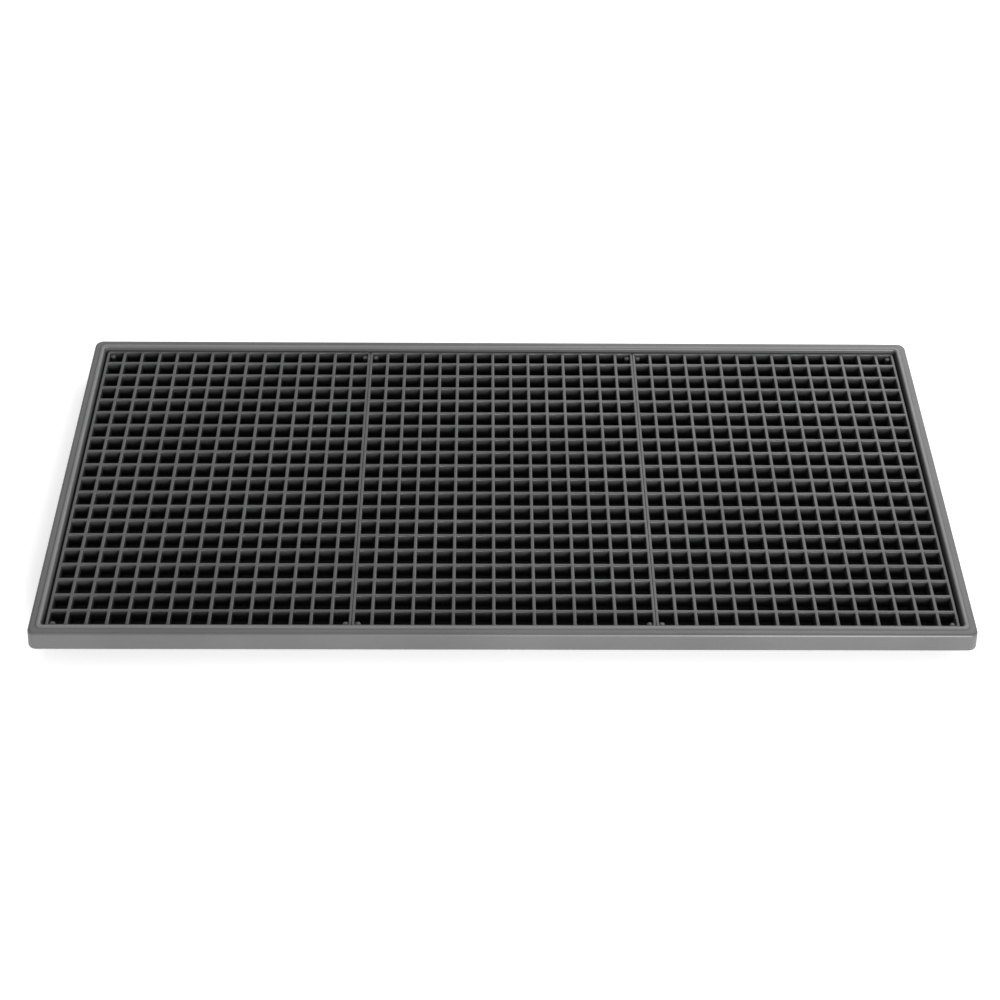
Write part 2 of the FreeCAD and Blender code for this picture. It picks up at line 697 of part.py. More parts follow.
def build():
    tray_shell()
    grid_panels()
    base_cover()
    base_seal()
    base_screws()
    feet()
    heater_sheet("heat_spreader_foil", "foil_bottom", "sheet_thickness", 0)
    heater_sheet("heater_backing", "backing_bottom", "sheet_thickness", 0)
    heater_sheet("insulation_board", "cover_top", "backing_bottom - cover_top", 2)
    heating_wire()
    thermal_cutout()
    terminals()
    leads()
    cord_clamp()
    cable_gland()
    doc.recompute()


def export():
    """Every object and shape is checked before any file is written."""
    for item in doc.Objects:
        if "Invalid" in item.State or "Error" in item.State:
            raise RuntimeError("%s did not compute: %s" % (item.Name, item.State))
    for part in parts:
        if part.Shape.isNull() or not part.Shape.isValid():
            raise RuntimeError(part.Label + " has no valid shape")
    os.makedirs("parts", exist_ok=True)
    for part in parts:
        part.Shape.exportStep("parts/%s.step" % part.Label)
        box = part.Shape.BoundBox
        print("%-24s %d solid(s) %10.1f mm3  z %.2f to %.2f" % (
            part.Label, len(part.Shape.Solids), part.Shape.Volume, box.ZMin, box.ZMax))


build()
export()
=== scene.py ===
"""Seedling heat mat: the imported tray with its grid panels, finished and lit as a studio product."""
import json
import math

import bmesh
import bpy
from mathutils import Matrix, Vector


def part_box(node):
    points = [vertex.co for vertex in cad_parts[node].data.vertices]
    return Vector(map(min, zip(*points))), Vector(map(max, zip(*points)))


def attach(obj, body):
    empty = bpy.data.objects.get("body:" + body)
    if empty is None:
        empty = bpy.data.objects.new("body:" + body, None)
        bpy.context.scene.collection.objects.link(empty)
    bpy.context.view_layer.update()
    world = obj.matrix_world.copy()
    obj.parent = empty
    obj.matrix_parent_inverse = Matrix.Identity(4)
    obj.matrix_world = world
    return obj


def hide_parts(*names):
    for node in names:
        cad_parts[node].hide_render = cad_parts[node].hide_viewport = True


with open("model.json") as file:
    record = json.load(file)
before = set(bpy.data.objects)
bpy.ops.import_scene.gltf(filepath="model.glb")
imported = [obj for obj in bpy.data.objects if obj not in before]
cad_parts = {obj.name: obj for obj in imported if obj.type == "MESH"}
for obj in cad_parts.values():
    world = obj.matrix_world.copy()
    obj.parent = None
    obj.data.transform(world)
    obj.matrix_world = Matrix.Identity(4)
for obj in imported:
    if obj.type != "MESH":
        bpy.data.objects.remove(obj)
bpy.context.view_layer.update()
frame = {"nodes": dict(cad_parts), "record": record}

MM = 0.001

# What the frame says about the tray and the panels, in metres. CREST is the top of the tray.
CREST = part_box("tray_shell")[1].z
PANEL_LOW, PANEL_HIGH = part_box("grid_panel_left")
COLUMNS, ROWS = 15, 20
PITCH = (PANEL_HIGH.y - PANEL_LOW.y) / ROWS

# The tray, in metres. Distances across the rim start at the well's wall.
RIM_WIDTH = 7.6 * MM
FLANGE = CREST - 0.7 * MM
CREST_START, CREST_END, FLANGE_START = 1.5 * MM, 2.3 * MM, 3.7 * MM
WALL = 2.0 * MM
WELL_CORNER = 2.0 * MM
RIM_CORNER = 5.0 * MM
WELL_GAP_X, WELL_GAP_Y = 1.8 * MM, 0.7 * MM
WELL_X = 1.5 * COLUMNS * PITCH + WELL_GAP_X
WELL_Y = 0.5 * ROWS * PITCH + WELL_GAP_Y
FLOOR_TOP = PANEL_LOW.z
FLOOR_THICKNESS = 1.5 * MM
SKIRT_BOTTOM = 12.4 * MM
SKIRT_DRAFT = 7.6
SKIRT_FLARE = math.tan(math.radians(SKIRT_DRAFT))
SKIRT_EDGE = 2.0 * MM
CORNER_STEPS = 10

# Edges: the angle beyond which a made piece shades sharp, the break on CAD pieces' hard edges, and
# the thickness below which a piece is a sheet that has none
SMOOTH_ANGLE = math.radians(35)
HARD_ANGLE = math.radians(40)
EDGE_BREAK = 0.15 * MM
SHEET_LIMIT = 1.0 * MM

# The panels' ribs, in metres
RIB = 2.2 * MM
EDGE_RIB = 1.7 * MM
SIDE_ROUND = 0.06 * MM
RIB_LIFT = 0.5 * MM
RIB_ROUND = 0.55 * MM
CROWN_STEPS = 4
FOOT_BREAK = 0.2 * MM
CELL_CORNER = 0.7 * MM
CELL_STEPS = 2
CELL_POINTS = CELL_STEPS + 1
PANEL_CORNER = 1.6 * MM
POST_RADIUS = 2.0 * MM
POST_INSET = 3.6 * MM
POST_DROP = 1.5 * MM
POST_DOME = 0.8 * MM
POST_BREAK = 0.3 * MM


# ---------------------------------------------------------------------------- mesh building

def link_mesh(name, mesh):
    """A linked object whose mesh shades smooth except across sharp edges."""
    mesh.validate()
    piece = bpy.data.objects.new(name, mesh)
    bpy.context.scene.collection.objects.link(piece)
    for polygon in mesh.polygons:
        polygon.use_smooth = True
    mesh.set_sharp_from_angle(angle=SMOOTH_ANGLE)
    return piece


def mesh_from(name, shape):
    """A mesh from a bmesh, which it frees."""
    bmesh.ops.recalc_face_normals(shape, faces=shape.faces)
    mesh = bpy.data.meshes.new(name)
    shape.to_mesh(mesh)
    shape.free()
    return mesh


def from_bmesh(name, shape):
    """A linked object from a bmesh."""
    return link_mesh(name, mesh_from(name, shape))


def corner_arc(centre, radius, turn, steps):
    """Points on a level quarter circle that starts after some quarter turns from +X."""
    angles = [math.radians(90 * turn + 90 * step / steps) for step in range(steps + 1)]
    return [centre + radius * Vector((math.cos(angle), math.sin(angle), 0)) for angle in angles]


def rounded_loop(half_x, half_y, corner, level):
    """Points round a rectangle with round corners, centred on the Z axis."""
    points = []
    for turn, (side_x, side_y) in enumerate(((1, 1), (-1, 1), (-1, -1), (1, -1))):
        centre = Vector((side_x * (half_x - corner), side_y * (half_y - corner), level))
        points += corner_arc(centre, corner, turn, CORNER_STEPS)
    return points


def skin(shape, loops, cap_first=True, cap_last=True, closed=False):
    """Quads between loops of equal length. Each end gets a face unless told otherwise, and closed
    joins the last loop to the first."""
    rings = [[shape.verts.new(point) for point in loop] for loop in loops]
    pairs = list(zip(rings, rings[1:]))
    if closed:
        pairs.append((rings[-1], rings[0]))
    for lower, upper in pairs:
        count = len(lower)
        for i in range(count):
            j = (i + 1) % count
            shape.faces.new((lower[i], lower[j], upper[j], upper[i]))
    if cap_first:
        shape.faces.new(rings[0])
    if cap_last:
        shape.faces.new(rings[-1])


def lathe(shape, outline, place, axis="Z", steps=48):
    """Turns an outline of (radius, distance) round an axis through a place. A radius of 0 closes
    that end, and an outline that ends where it began is a ring."""
    ring_like = outline[0] == outline[-1]
    loops = []
    for radius, distance in outline[:-1] if ring_like else outline:
        loop = []
        for step in range(steps):
            angle = 2 * math.pi * step / steps
            across, up = max(radius, 1e-6) * math.cos(angle), max(radius, 1e-6) * math.sin(angle)
            offset = (across, up, distance) if axis == "Z" else (across, distance, up)
            loop.append(Vector(place) + Vector(offset))
        loops.append(loop)
    skin(shape, loops, cap_first=not ring_like, cap_last=not ring_like, closed=ring_like)


# ---------------------------------------------------------------------------- materials

class Nodes:
    """A short way to write a material's node tree."""

    def __init__(self, name):
        self.material = bpy.data.materials.new(name)
        self.material.use_nodes = True
        self.tree = self.material.node_tree
        self.shader = self.tree.nodes["Principled BSDF"]
        self.place = self.tree.nodes.new("ShaderNodeTexCoord").outputs["Object"]

    def add(self, kind, **settings):
        node = self.tree.nodes.new(kind)
        for key, setting in settings.items():
            setattr(node, key, setting)
        return node

    def link(self, source, target):
        self.tree.links.new(source, target)

    def noise(self, scale, detail=3.0, stretch=(1, 1, 1)):
        mapping = self.add("ShaderNodeMapping")
        mapping.inputs["Scale"].default_value = stretch
        self.link(self.place, mapping.inputs["Vector"])
        noise = self.add("ShaderNodeTexNoise")
        noise.inputs["Scale"].default_value = scale
        noise.inputs["Detail"].default_value = detail
        self.link(mapping.outputs["Vector"], noise.inputs["Vector"])
        return noise.outputs["Fac"]

    def ramp(self, source, low, high, dark, light):
        """Maps source from low..high to dark..light, which are numbers or colours."""
        if isinstance(dark, (int, float)):
            node = self.add("ShaderNodeMapRange")
            node.inputs["From Min"].default_value = low
            node.inputs["From Max"].default_value = high
            node.inputs["To Min"].default_value = dark
            node.inputs["To Max"].default_value = light
            self.link(source, node.inputs["Value"])
            return node.outputs["Result"]
        node = self.add("ShaderNodeValToRGB")
        first, last = node.color_ramp.elements
        first.position, last.position = low, high
        first.color, last.color = (*dark, 1), (*light, 1)
        self.link(source, node.inputs["Fac"])
        return node.outputs["Color"]

    def mix(self, share, first, second):
        """Blends two colours. Any of the three can be a socket."""
        node = self.add("ShaderNodeMix", data_type="RGBA")
        for name, value in (("Factor", share), ("A", first), ("B", second)):
            socket = next(s for s in node.inputs if s.name == name and s.enabled)
            if isinstance(value, bpy.types.NodeSocket):
                self.link(value, socket)
            else:
                socket.default_value = value if name == "Factor" else (*value, 1)
        return next(s for s in node.outputs if s.enabled)

    def calculate(self, operation, *values):
        """One arithmetic step on sockets."""
        node = self.add("ShaderNodeMath", operation=operation)
        for socket, value in zip(node.inputs, values):
            self.link(value, socket)
        return node.outputs[0]

    def bump(self, height, distance, strength=1.0, under=None):
        node = self.add("ShaderNodeBump")
        node.inputs["Distance"].default_value = distance
        node.inputs["Strength"].default_value = strength
        self.link(height, node.inputs["Height"])
        if under is not None:
            self.link(under, node.inputs["Normal"])
        return node.outputs["Normal"]

    def finish(self, colour=None, roughness=None, normal=None, metallic=0.0, specular=0.5):
        self.shader.inputs["Metallic"].default_value = metallic
        self.shader.inputs["Specular IOR Level"].default_value = specular
        for name, value in (("Base Color", colour), ("Roughness", roughness), ("Normal", normal)):
            if isinstance(value, bpy.types.NodeSocket):
                self.link(value, self.shader.inputs[name])
            elif value is not None:
                self.shader.inputs[name].default_value = value
        return self.material


# Finishes: linear colours, the depth of a moulded grain in metres, and how far the panels darken
# towards the floor with painted shade and the crest is made pale, part wear and part painted
# highlight
FINE_GRAIN = 0.012 * MM
DUST = (0.30, 0.30, 0.29)
PAINTED_WELL_SHADE = (0.012, 0.012, 0.012)
PAINTED_SHADE_SHARE = 0.18
TRAY_DARK, TRAY_LIGHT = (0.070, 0.070, 0.071), (0.084, 0.084, 0.085)
WORN_AND_HIGHLIGHT = (0.17, 0.17, 0.17)
WORN_AND_HIGHLIGHT_SHARE = 0.55
FLOOR_GLOW = 0.4


def clouded(nodes, dark, light):
    """A colour that drifts softly between two shades."""
    return nodes.ramp(nodes.noise(14, detail=4), 0.35, 0.65, dark, light)


def dusted(nodes, colour):
    """A colour with a few pale specks of dust on it."""
    specks = nodes.ramp(nodes.noise(2600, detail=1), 0.70, 0.76, 0.0, 0.35)
    return nodes.mix(specks, colour, DUST)


def flow_marks(nodes, low, high):
    """Roughness between two values in the long streaks that moulding leaves."""
    return nodes.ramp(nodes.noise(9, detail=3, stretch=(1, 3.5, 1)), 0.3, 0.7, low, high)


def moulded_skin(nodes, grain):
    """The normal of a moulded face: slight waves under a fine spark-eroded grain."""
    waves = nodes.bump(nodes.noise(40, detail=2), 0.05 * MM, 0.5)
    return nodes.bump(nodes.noise(2200, detail=2), grain, 1.0, under=waves)


def moulded_plastic(name, dark, light, rough, grain=FINE_GRAIN, depth=None):
    """Satin moulded plastic with a little dust. depth is a pair of heights between which a painted
    shade darkens the plastic downwards."""
    nodes = Nodes(name)
    colour = clouded(nodes, dark, light)
    if depth is not None:
        split = nodes.add("ShaderNodeSeparateXYZ")
        nodes.link(nodes.place, split.inputs["Vector"])
        # painted shade: the plastic darkens towards the lower of depth's two heights
        painted_shade = nodes.ramp(split.outputs["Z"], *depth, 1.0, 0.0)
        colour = nodes.mix(painted_shade, colour, tuple(PAINTED_SHADE_SHARE * part for part in dark))
    roughness = flow_marks(nodes, rough - 0.05, rough + 0.07)
    return nodes.finish(dusted(nodes, colour), roughness, moulded_skin(nodes, grain))


def tray_finish():
    """The tray's plastic: paler on the crest, part wear and part painted highlight, and dark with
    painted shade in the well, where it is also rougher.
    """
    nodes = Nodes("tray_plastic")
    split = nodes.add("ShaderNodeSeparateXYZ")
    nodes.link(nodes.place, split.inputs["Vector"])
    height = split.outputs["Z"]
    # painted shade fills the well, which ends where a point lies beyond its walls or high up on them
    beyond = [nodes.ramp(nodes.calculate("ABSOLUTE", split.outputs[axis]),
                         wall - 1.0 * MM, wall + 0.4 * MM, 0.0, 1.0)
              for axis, wall in (("X", WELL_X), ("Y", WELL_Y))]
    high_up = nodes.ramp(height, CREST - 4.0 * MM, CREST - 1.0 * MM, 0.0, 1.0)
    outside_painted_shade = nodes.calculate("MAXIMUM", nodes.calculate("MAXIMUM", *beyond), high_up)
    painted_shade = nodes.ramp(outside_painted_shade, 0.0, 1.0, 1.0, 0.0)
    colour = clouded(nodes, TRAY_DARK, TRAY_LIGHT)
    # painted shade: the well's floor and lower walls turn near black
    colour = nodes.mix(painted_shade, colour, PAINTED_WELL_SHADE)
    # the crest turns paler towards its top: part wear, part painted highlight
    worn_and_highlight = nodes.ramp(height, FLANGE + 0.25 * MM, CREST - 0.05 * MM, 0.0, WORN_AND_HIGHLIGHT_SHARE)
    colour = nodes.mix(worn_and_highlight, colour, WORN_AND_HIGHLIGHT)
    soiled = nodes.ramp(nodes.noise(30, detail=3), 0.3, 0.7, 0.35, 0.48)
    dulled = nodes.calculate("MULTIPLY", painted_shade, soiled)
    roughness = nodes.calculate("ADD", flow_marks(nodes, 0.36, 0.46), dulled)
    return nodes.finish(dusted(nodes, colour), roughness, moulded_skin(nodes, FINE_GRAIN))


def rubber(name, colour):
    """Matt rubber with a fine leathery grain."""
    nodes = Nodes(name)
    shade = nodes.ramp(nodes.noise(60), 0.3, 0.7, tuple(0.7 * c for c in colour), colour)
    normal = nodes.bump(nodes.noise(1500, detail=3), 0.03 * MM, 0.8)
    return nodes.finish(shade, nodes.ramp(nodes.noise(90), 0.3, 0.7, 0.62, 0.8), normal)


def metal(name, colour, rough, brushed=(1, 14, 1)):
    """Metal with fine streaks, which brushed stretches along an axis."""
    nodes = Nodes(name)
    grain = nodes.noise(700, detail=3, stretch=brushed)
    shade = nodes.ramp(grain, 0.3, 0.7, tuple(0.82 * c for c in colour), colour)
    roughness = nodes.ramp(grain, 0.3, 0.7, rough - 0.07, rough + 0.09)
    normal = nodes.bump(grain, 0.006 * MM, 0.7)
    return nodes.finish(shade, roughness, normal, metallic=1.0)


def foam(name, colour):
    """Closed-cell foam, dimpled between its cells."""
    nodes = Nodes(name)
    cells = nodes.add("ShaderNodeTexVoronoi", feature="F1")
    cells.inputs["Scale"].default_value = 900
    nodes.link(nodes.place, cells.inputs["Vector"])
    shade = nodes.ramp(cells.outputs["Distance"], 0.1, 0.8, colour, tuple(0.7 * c for c in colour))
    return nodes.finish(shade, 0.9, nodes.bump(cells.outputs["Distance"], 0.15 * MM, 0.8))


def white_floor():
    """A plain pale floor with a faint glow, so that it stays white under soft light."""
    nodes = Nodes("studio_floor")
    shade = nodes.ramp(nodes.noise(2.5), 0.3, 0.7, (0.86, 0.86, 0.86), (0.90, 0.90, 0.90))
    nodes.shader.inputs["Emission Color"].default_value = (1, 1, 1, 1)
    nodes.shader.inputs["Emission Strength"].default_value = FLOOR_GLOW
    return nodes.finish(shade, 0.9, specular=0.1)


MATERIALS = {
    "tray_plastic": tray_finish(),
    # the panels carry painted shade that deepens towards their feet
    "panel_plastic": moulded_plastic("panel_plastic", (0.036, 0.036, 0.037), (0.046, 0.046, 0.047),
                                     0.38, depth=(PANEL_LOW.z, PANEL_HIGH.z)),
    "cover_plastic": moulded_plastic("cover_plastic", (0.030, 0.030, 0.031), (0.040, 0.040, 0.041),
                                     0.55, grain=0.03 * MM),
    "gland_plastic": moulded_plastic("gland_plastic", (0.022, 0.022, 0.023), (0.030, 0.030, 0.031),
                                     0.45),
    "terminal_plastic": moulded_plastic("terminal_plastic", (0.70, 0.69, 0.64),
                                        (0.78, 0.77, 0.72), 0.45),
    "cutout_ceramic": moulded_plastic("cutout_ceramic", (0.62, 0.60, 0.54), (0.70, 0.68, 0.62),
                                      0.5),
    "backing_sheet": moulded_plastic("backing_sheet", (0.76, 0.76, 0.73), (0.82, 0.82, 0.80), 0.5),
    "seal_rubber": rubber("seal_rubber", (0.03, 0.03, 0.03)),
    "foot_rubber": rubber("foot_rubber", (0.05, 0.05, 0.052)),
    "heater_jacket": rubber("heater_jacket", (0.55, 0.08, 0.04)),
    "lead_brown": rubber("lead_brown", (0.16, 0.06, 0.025)),
    "lead_blue": rubber("lead_blue", (0.02, 0.09, 0.35)),
    "screw_steel": metal("screw_steel", (0.62, 0.62, 0.63), 0.30),
    "clip_steel": metal("clip_steel", (0.58, 0.58, 0.60), 0.34),
    "foil": metal("foil", (0.86, 0.86, 0.87), 0.24, brushed=(14, 1, 1)),
    "terminal_brass": metal("terminal_brass", (0.80, 0.62, 0.30), 0.30),
    "insulation_foam": foam("insulation_foam", (0.62, 0.62, 0.62)),
}


def paint(piece, slot):
    """Gives a piece one finish. CAD nodes keep their own slots and only change the material."""
    if piece.data.materials:
        for index in range(len(piece.data.materials)):
            piece.data.materials[index] = MATERIALS[slot]
    else:
        piece.data.materials.append(MATERIALS[slot])


def stand_for(piece, node, body, slot):
    """A finished piece takes the place of a CAD node."""
    paint(piece, slot)
    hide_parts(node)
    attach(piece, body)


def body_of(node):
    """The body that a CAD node belongs to."""
    bodies = frame["record"]["behaviour"]["bodies"]
    return next(body for body, nodes in bodies.items() if node in nodes)


# ---------------------------------------------------------------------------- the pieces

def arc(centre, radius, start, end, steps):
    """Points (out, height) on a circular arc, angles in degrees from straight out, turning up."""
    points = []
    for step in range(steps + 1):
        angle = math.radians(start + (end - start) * step / steps)
        points.append((centre[0] + radius * math.cos(angle), centre[1] + radius * math.sin(angle)))
    return points


def tray_section():
    """The tray's section from the edge of its floor, up the well, over the crest and the flange
    and down the flared skirt, then back inside: (distance out from the well's wall, height)."""
    floor_round, foot_round, foot_break = 1.0 * MM, 0.7 * MM, 0.15 * MM
    flange_run, foot_thinning, mid_skirt = 0.5 * MM, 0.2 * MM, FLANGE - 6.0 * MM

    def face(level):
        return RIM_WIDTH + SKIRT_FLARE * (FLANGE - level)

    section = arc((-floor_round, FLOOR_TOP + floor_round), floor_round, -90, 0, 4)
    section += arc((CREST_START, CREST - CREST_START), CREST_START, 180, 90, 7)
    drop = CREST - FLANGE
    for share in (0.0, 0.25, 0.5, 0.75, 1.0):
        fall = drop * (1 - math.cos(math.pi * share)) / 2
        section.append((CREST_END + share * (FLANGE_START - CREST_END), CREST - fall))
    section.append((FLANGE_START + flange_run, FLANGE))
    centre = (face(FLANGE - SKIRT_EDGE) - SKIRT_EDGE, FLANGE - SKIRT_EDGE)
    section += arc(centre, SKIRT_EDGE, 90, SKIRT_DRAFT, 8)
    section.append((face(mid_skirt), mid_skirt))
    foot = SKIRT_BOTTOM + foot_round
    section += arc((face(foot) - foot_round, foot), foot_round, SKIRT_DRAFT, -90, 5)
    inner = face(SKIRT_BOTTOM) - WALL + foot_thinning
    section += [(inner + foot_break, SKIRT_BOTTOM), (inner, SKIRT_BOTTOM + foot_break)]
    section += arc((RIM_WIDTH - 2 * WALL, FLANGE - 2 * WALL), WALL, SKIRT_DRAFT, 90, 4)
    section += arc((2 * WALL, FLANGE - 2 * WALL), WALL, 90, 180, 4)
    section.append((WALL, FLOOR_TOP - FLOOR_THICKNESS))
    return section


def tray():
    """The whole moulding as one skin."""
    spread = (RIM_CORNER - WELL_CORNER) / RIM_WIDTH
    shape = bmesh.new()
    skin(shape, [rounded_loop(WELL_X + out, WELL_Y + out, WELL_CORNER + out * spread, level)
                 for out, level in tray_section()])
    stand_for(from_bmesh("tray_moulding", shape), "tray_shell", body_of("tray_shell"),
              "tray_plastic")


def cell_hole(low_x, high_x, low_y, high_y, grow, level):
    """One cell's outline at a height, counter-clockwise, with CELL_POINTS at each corner."""
    loop = []
    for turn, (x, y, side_x, side_y) in enumerate((
            (high_x + grow, high_y + grow, 1, 1), (low_x - grow, high_y + grow, -1, 1),
            (low_x - grow, low_y - grow, -1, -1), (high_x + grow, low_y - grow, 1, -1))):
        centre = Vector((x - side_x * CELL_CORNER, y - side_y * CELL_CORNER, level))
        loop += corner_arc(centre, CELL_CORNER, turn, CELL_STEPS)
    return loop


def ruled(shape, outer, inner):
    """Faces between a tile's outer corners and a cell's outline. A corner has CELL_POINTS inside
    and either as many or only one outside."""
    for k, corner in enumerate(outer):
        first, last = CELL_POINTS * k, CELL_POINTS * (k + 1)
        hole = inner[first:last]
        for i in range(CELL_STEPS):
            if len(corner) == 1:
                shape.faces.new((corner[0], hole[i + 1], hole[i]))
            else:
                shape.faces.new((corner[i], corner[i + 1], hole[i + 1], hole[i]))
        following = outer[(k + 1) % len(outer)]
        shape.faces.new((corner[-1], following[0], inner[last % len(inner)], hole[-1]))


def grid_mesh():
    """One panel, centred on the Z axis with its posts' feet at height 0."""
    half_x = (PANEL_HIGH.x - PANEL_LOW.x) / 2
    half_y = (PANEL_HIGH.y - PANEL_LOW.y) / 2
    top = PANEL_HIGH.z - PANEL_LOW.z
    # heights of each outline, with how far the cell is opened there by the ribs' round edges
    turns = [math.radians(90 * step / CROWN_STEPS) for step in range(CROWN_STEPS + 1)]
    levels = [(top - RIB_ROUND * (1 - math.cos(turn)), RIB_ROUND * (1 - math.sin(turn)))
              for turn in turns]
    levels += [(RIB_LIFT + FOOT_BREAK, 0.0), (RIB_LIFT, FOOT_BREAK)]
    sides = [(top - SIDE_ROUND * (1 - math.cos(turn)), SIDE_ROUND * (1 - math.sin(turn)))
             for turn in turns] + levels[-2:]
    shape = bmesh.new()

    def bounds_of(index, count, half):
        """Both sides of a cell along one axis: the edge ribs lie wholly inside the edge."""
        low = -half + EDGE_RIB if index == 0 else -count * PITCH / 2 + index * PITCH + RIB / 2
        high = half - EDGE_RIB if index == count - 1 else (
            -count * PITCH / 2 + (index + 1) * PITCH - RIB / 2)
        return low, high

    def tile_edge(index, count, half, inset):
        """Where a tile starts along one axis, on a rib's middle or at the panel's edge."""
        if index == 0:
            return -half + inset
        if index == count:
            return half - inset
        return -count * PITCH / 2 + index * PITCH

    def tile_corners(column, row, inset, level):
        """A tile's four corners: one point each, or an arc where the panel has its own corner."""
        corners = []
        for turn, (i, j) in enumerate(((1, 1), (0, 1), (0, 0), (1, 0))):
            x = tile_edge(column + i, COLUMNS, half_x, inset)
            y = tile_edge(row + j, ROWS, half_y, inset)
            at_corner = column + i in (0, COLUMNS) and row + j in (0, ROWS)
            radius = PANEL_CORNER - inset
            centre = Vector((x - math.copysign(radius, x), y - math.copysign(radius, y), level))
            corners.append(corner_arc(centre, radius, turn, CELL_STEPS) if at_corner
                           else [Vector((x, y, level))])
        return corners

    for column in range(COLUMNS):
        low_x, high_x = bounds_of(column, COLUMNS, half_x)
        for row in range(ROWS):
            low_y, high_y = bounds_of(row, ROWS, half_y)
            rings = [[shape.verts.new(point) for point in
                      cell_hole(low_x, high_x, low_y, high_y, grow, level)]
                     for level, grow in levels]
            for upper, lower in zip(rings, rings[1:]):
                for i in range(len(upper)):
                    j = (i + 1) % len(upper)
                    shape.faces.new((upper[i], upper[j], lower[j], lower[i]))
            for ring, (level, inset) in ((rings[0], sides[0]), (rings[-1], sides[-1])):
                outer = [[shape.verts.new(point) for point in corner]
                         for corner in tile_corners(column, row, inset, level)]
                ruled(shape, outer, ring)

    def edge_loop(inset, level):
        """The panel's outline at one height, with a point at every rib."""
        loop = []
        for column, row, turn in ((COLUMNS, ROWS, 0), (0, ROWS, 1), (0, 0, 2), (COLUMNS, 0, 3)):
            near = (min(column, COLUMNS - 1), min(row, ROWS - 1))
            loop += tile_corners(near[0], near[1], inset, level)[turn]
            along_x = turn in (0, 2)
            count = COLUMNS if along_x else ROWS
            order = range(count - 1, 0, -1) if turn in (0, 1) else range(1, count)
            for index in order:
                x = tile_edge(index if along_x else column, COLUMNS, half_x, inset)
                y = tile_edge(row if along_x else index, ROWS, half_y, inset)
                loop.append(Vector((x, y, level)))
        return loop

    skin(shape, [edge_loop(inset, level) for level, inset in sides], False, False)
    bmesh.ops.remove_doubles(shape, verts=shape.verts, dist=0.01 * MM)
    post = [(POST_RADIUS - POST_BREAK, 0), (POST_RADIUS, POST_BREAK)]
    for step in range(6):
        angle = math.radians(85 * step / 5)
        post.append((POST_RADIUS * math.cos(angle),
                     top - POST_DROP - POST_DOME + POST_DOME * math.sin(angle)))
    for side_x in (-1, 1):
        for side_y in (-1, 1):
            place = (side_x * (half_x - POST_INSET), side_y * (half_y - POST_INSET), 0)
            lathe(shape, post, place, steps=24)
    return mesh_from("grid", shape)


def panels():
    """The three panels, each with a mesh of its own in the tray's frame."""
    pattern = grid_mesh()
    for side in ("left", "centre", "right"):
        node = "grid_panel_" + side
        low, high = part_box(node)
        mesh = pattern.copy()
        mesh.transform(Matrix.Translation(((low.x + high.x) / 2, 0, low.z)))
        piece = link_mesh("grid_" + side, mesh)
        stand_for(piece, node, "panel_" + side, "panel_plastic")
    bpy.data.meshes.remove(pattern)


def feet():
    """Rubber feet with a dished face, two grip grooves and a rolled edge."""
    for node in [name for name in frame["nodes"] if name.startswith("foot_")]:
        low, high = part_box(node)
        radius = (high.x - low.x) / 2
        height = high.z - low.z
        depth, edge = 0.35 * MM, 0.5 * MM
        outline = [(0, depth), (2.6 * MM, 0.32 * MM), (3.0 * MM, 0.12 * MM)]
        for groove in (3.6 * MM, 5.2 * MM):
            outline += [(groove, 0.0), (groove + 0.15 * MM, depth),
                        (groove + 0.55 * MM, depth), (groove + 0.7 * MM, 0.0)]
        for step in range(5):
            angle = math.radians(90 * step / 4)
            outline.append((radius - edge * (1 - math.sin(angle)), edge * (1 - math.cos(angle))))
        outline += [(radius, height - 0.1 * MM), (radius - 0.1 * MM, height), (0, height)]
        shape = bmesh.new()
        lathe(shape, outline, ((low.x + high.x) / 2, (low.y + high.y) / 2, low.z))
        stand_for(from_bmesh("rubber_" + node, shape), node, body_of(node), "foot_rubber")


def gland():
    """The cord entry: a flanged barrel with a rounded nose and an open bore. The barrel runs
    inside the cover up to the flange, then on outside it."""
    low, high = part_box("cable_gland")
    flange = (high.x - low.x) / 2
    bore, barrel = 2.6 * MM, 3.2 * MM
    length = high.y - low.y
    inside = 4.6 * MM
    outline = [(bore, 0), (barrel - 0.2 * MM, 0), (barrel, 0.2 * MM), (barrel, inside),
               (flange - 0.1 * MM, inside), (flange, inside + 0.15 * MM),
               (flange, inside + 1.1 * MM), (flange - 0.15 * MM, inside + 1.38 * MM),
               (flange - 0.45 * MM, inside + 1.5 * MM), (barrel + 0.65 * MM, inside + 1.5 * MM),
               (barrel + 0.45 * MM, inside + 1.75 * MM), (barrel + 0.05 * MM, length - 0.7 * MM),
               (barrel - 0.12 * MM, length - 0.2 * MM), (barrel - 0.35 * MM, length),
               (bore + 0.15 * MM, length), (bore, length - 0.15 * MM), (bore, 0)]
    shape = bmesh.new()
    lathe(shape, outline, ((low.x + high.x) / 2, low.y, (low.z + high.z) / 2), axis="Y")
    stand_for(from_bmesh("gland_body", shape), "cable_gland", body_of("cable_gland"),
              "gland_plastic")


def carried_over():
    """CAD nodes that stay: each takes its slot's finish and, unless it is a sheet or a wire, a
    fine bevel on its hard edges."""
    slots = {row["node"]: row["material_slot"] for row in frame["record"]["subparts"]}
    for name, piece in frame["nodes"].items():
        if piece.hide_render:
            continue
        paint(piece, slots[name])
        thin = min(piece.dimensions) < SHEET_LIMIT
        if not thin and not name.startswith(("lead", "heating")):
            bevel = piece.modifiers.new("edge_break", "BEVEL")
            bevel.width = EDGE_BREAK
            bevel.segments = 2
            bevel.limit_method = "ANGLE"
            bevel.angle_limit = HARD_ANGLE


# ---------------------------------------------------------------------------- the studio

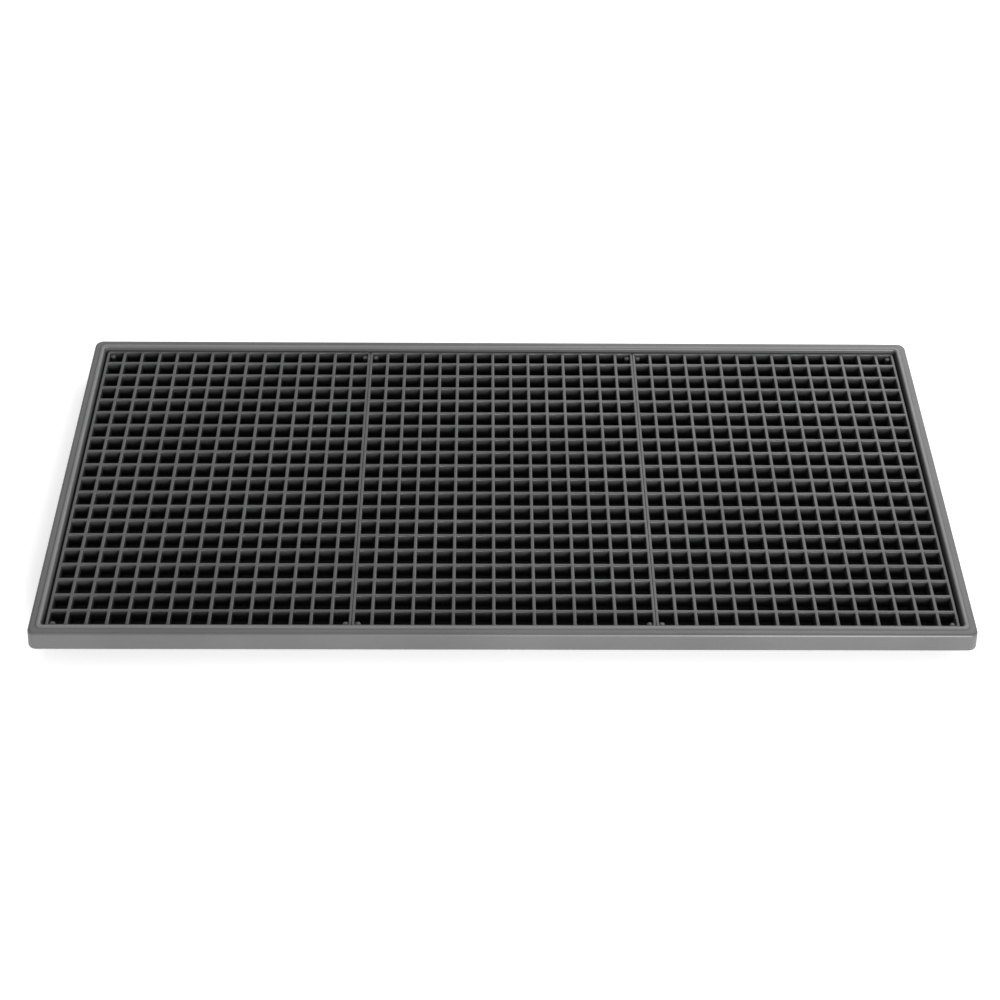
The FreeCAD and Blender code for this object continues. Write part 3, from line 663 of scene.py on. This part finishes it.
# Half the floor's side in metres, the room's even light, and each softbox's place and size in
# metres with its power in watts
FLOOR_HALF = 12.0
ROOM_LIGHT = 0.45
SOFTBOXES = {
    "key_softbox": ((1.321, -3.631, 1.035), 1.6, 235),
    "rear_softbox": ((0.609, 0.974, 0.964), 1.3, 16.5),
    "left_softbox": ((-0.603, 0.895, 1.042), 0.9, 3.5),
}

# The camera's turns in degrees, its lens and sensor in millimetres, and its place in metres
CAMERA_TILT, CAMERA_YAW, CAMERA_ROLL = 47.30, -1.00, -0.90
LENS, SENSOR = 58.83, 36
CAMERA_PLACE = Vector((-14.8 * MM, -759.8 * MM, PANEL_HIGH.z + 802.4 * MM))


def studio_floor():
    """The floor, a plain square under the tray that no body carries."""
    shape = bmesh.new()
    bmesh.ops.create_grid(shape, x_segments=24, y_segments=24, size=FLOOR_HALF)
    piece = from_bmesh("studio_floor", shape)
    piece.data.materials.append(white_floor())


def area_light(name, place, size, power):
    """A square softbox at a place in metres, aimed at the origin, with its power in watts."""
    light = bpy.data.lights.new(name, "AREA")
    light.shape = "RECTANGLE"
    light.size = size
    light.size_y = size
    light.energy = power
    piece = bpy.data.objects.new(name, light)
    bpy.context.scene.collection.objects.link(piece)
    piece.location = place
    piece.rotation_mode = "QUATERNION"
    piece.rotation_quaternion = (-Vector(place)).to_track_quat("-Z", "Y")


def studio_light():
    """An even pale room, a softbox low at the front right and one behind on either side."""
    world = bpy.data.worlds.new("studio")
    bpy.context.scene.world = world
    world.use_nodes = True
    background = world.node_tree.nodes["Background"]
    background.inputs["Color"].default_value = (1.0, 1.0, 1.0, 1)
    background.inputs["Strength"].default_value = ROOM_LIGHT
    for name, (place, size, power) in SOFTBOXES.items():
        area_light(name, place, size, power)
    bpy.context.scene.view_settings.view_transform = "Standard"


def camera():
    """The photograph's viewpoint, as turns and a place over the middle of the grid."""
    tilt, yaw, roll = (math.radians(turn) for turn in (CAMERA_TILT, CAMERA_YAW, CAMERA_ROLL))
    right = Vector((1, 0, 0))
    ahead = Vector((0, math.cos(tilt), -math.sin(tilt)))
    down = Vector((0, -math.sin(tilt), -math.cos(tilt)))
    heading = Matrix.Rotation(yaw, 3, "Z")
    right, ahead, down = heading @ right, heading @ ahead, heading @ down
    right, down = (math.cos(roll) * right + math.sin(roll) * down,
                   -math.sin(roll) * right + math.cos(roll) * down)
    lens = bpy.data.cameras.new("camera")
    lens.sensor_width = SENSOR
    lens.lens = LENS
    lens.clip_start, lens.clip_end = 0.01, 50
    piece = bpy.data.objects.new("camera", lens)
    bpy.context.scene.collection.objects.link(piece)
    axes = Matrix((right, -down, -ahead)).transposed().to_4x4()
    piece.matrix_world = Matrix.Translation(CAMERA_PLACE) @ axes
    bpy.context.scene.camera = piece


camera()
studio_floor()
studio_light()
tray()
panels()
feet()
gland()
carried_over()
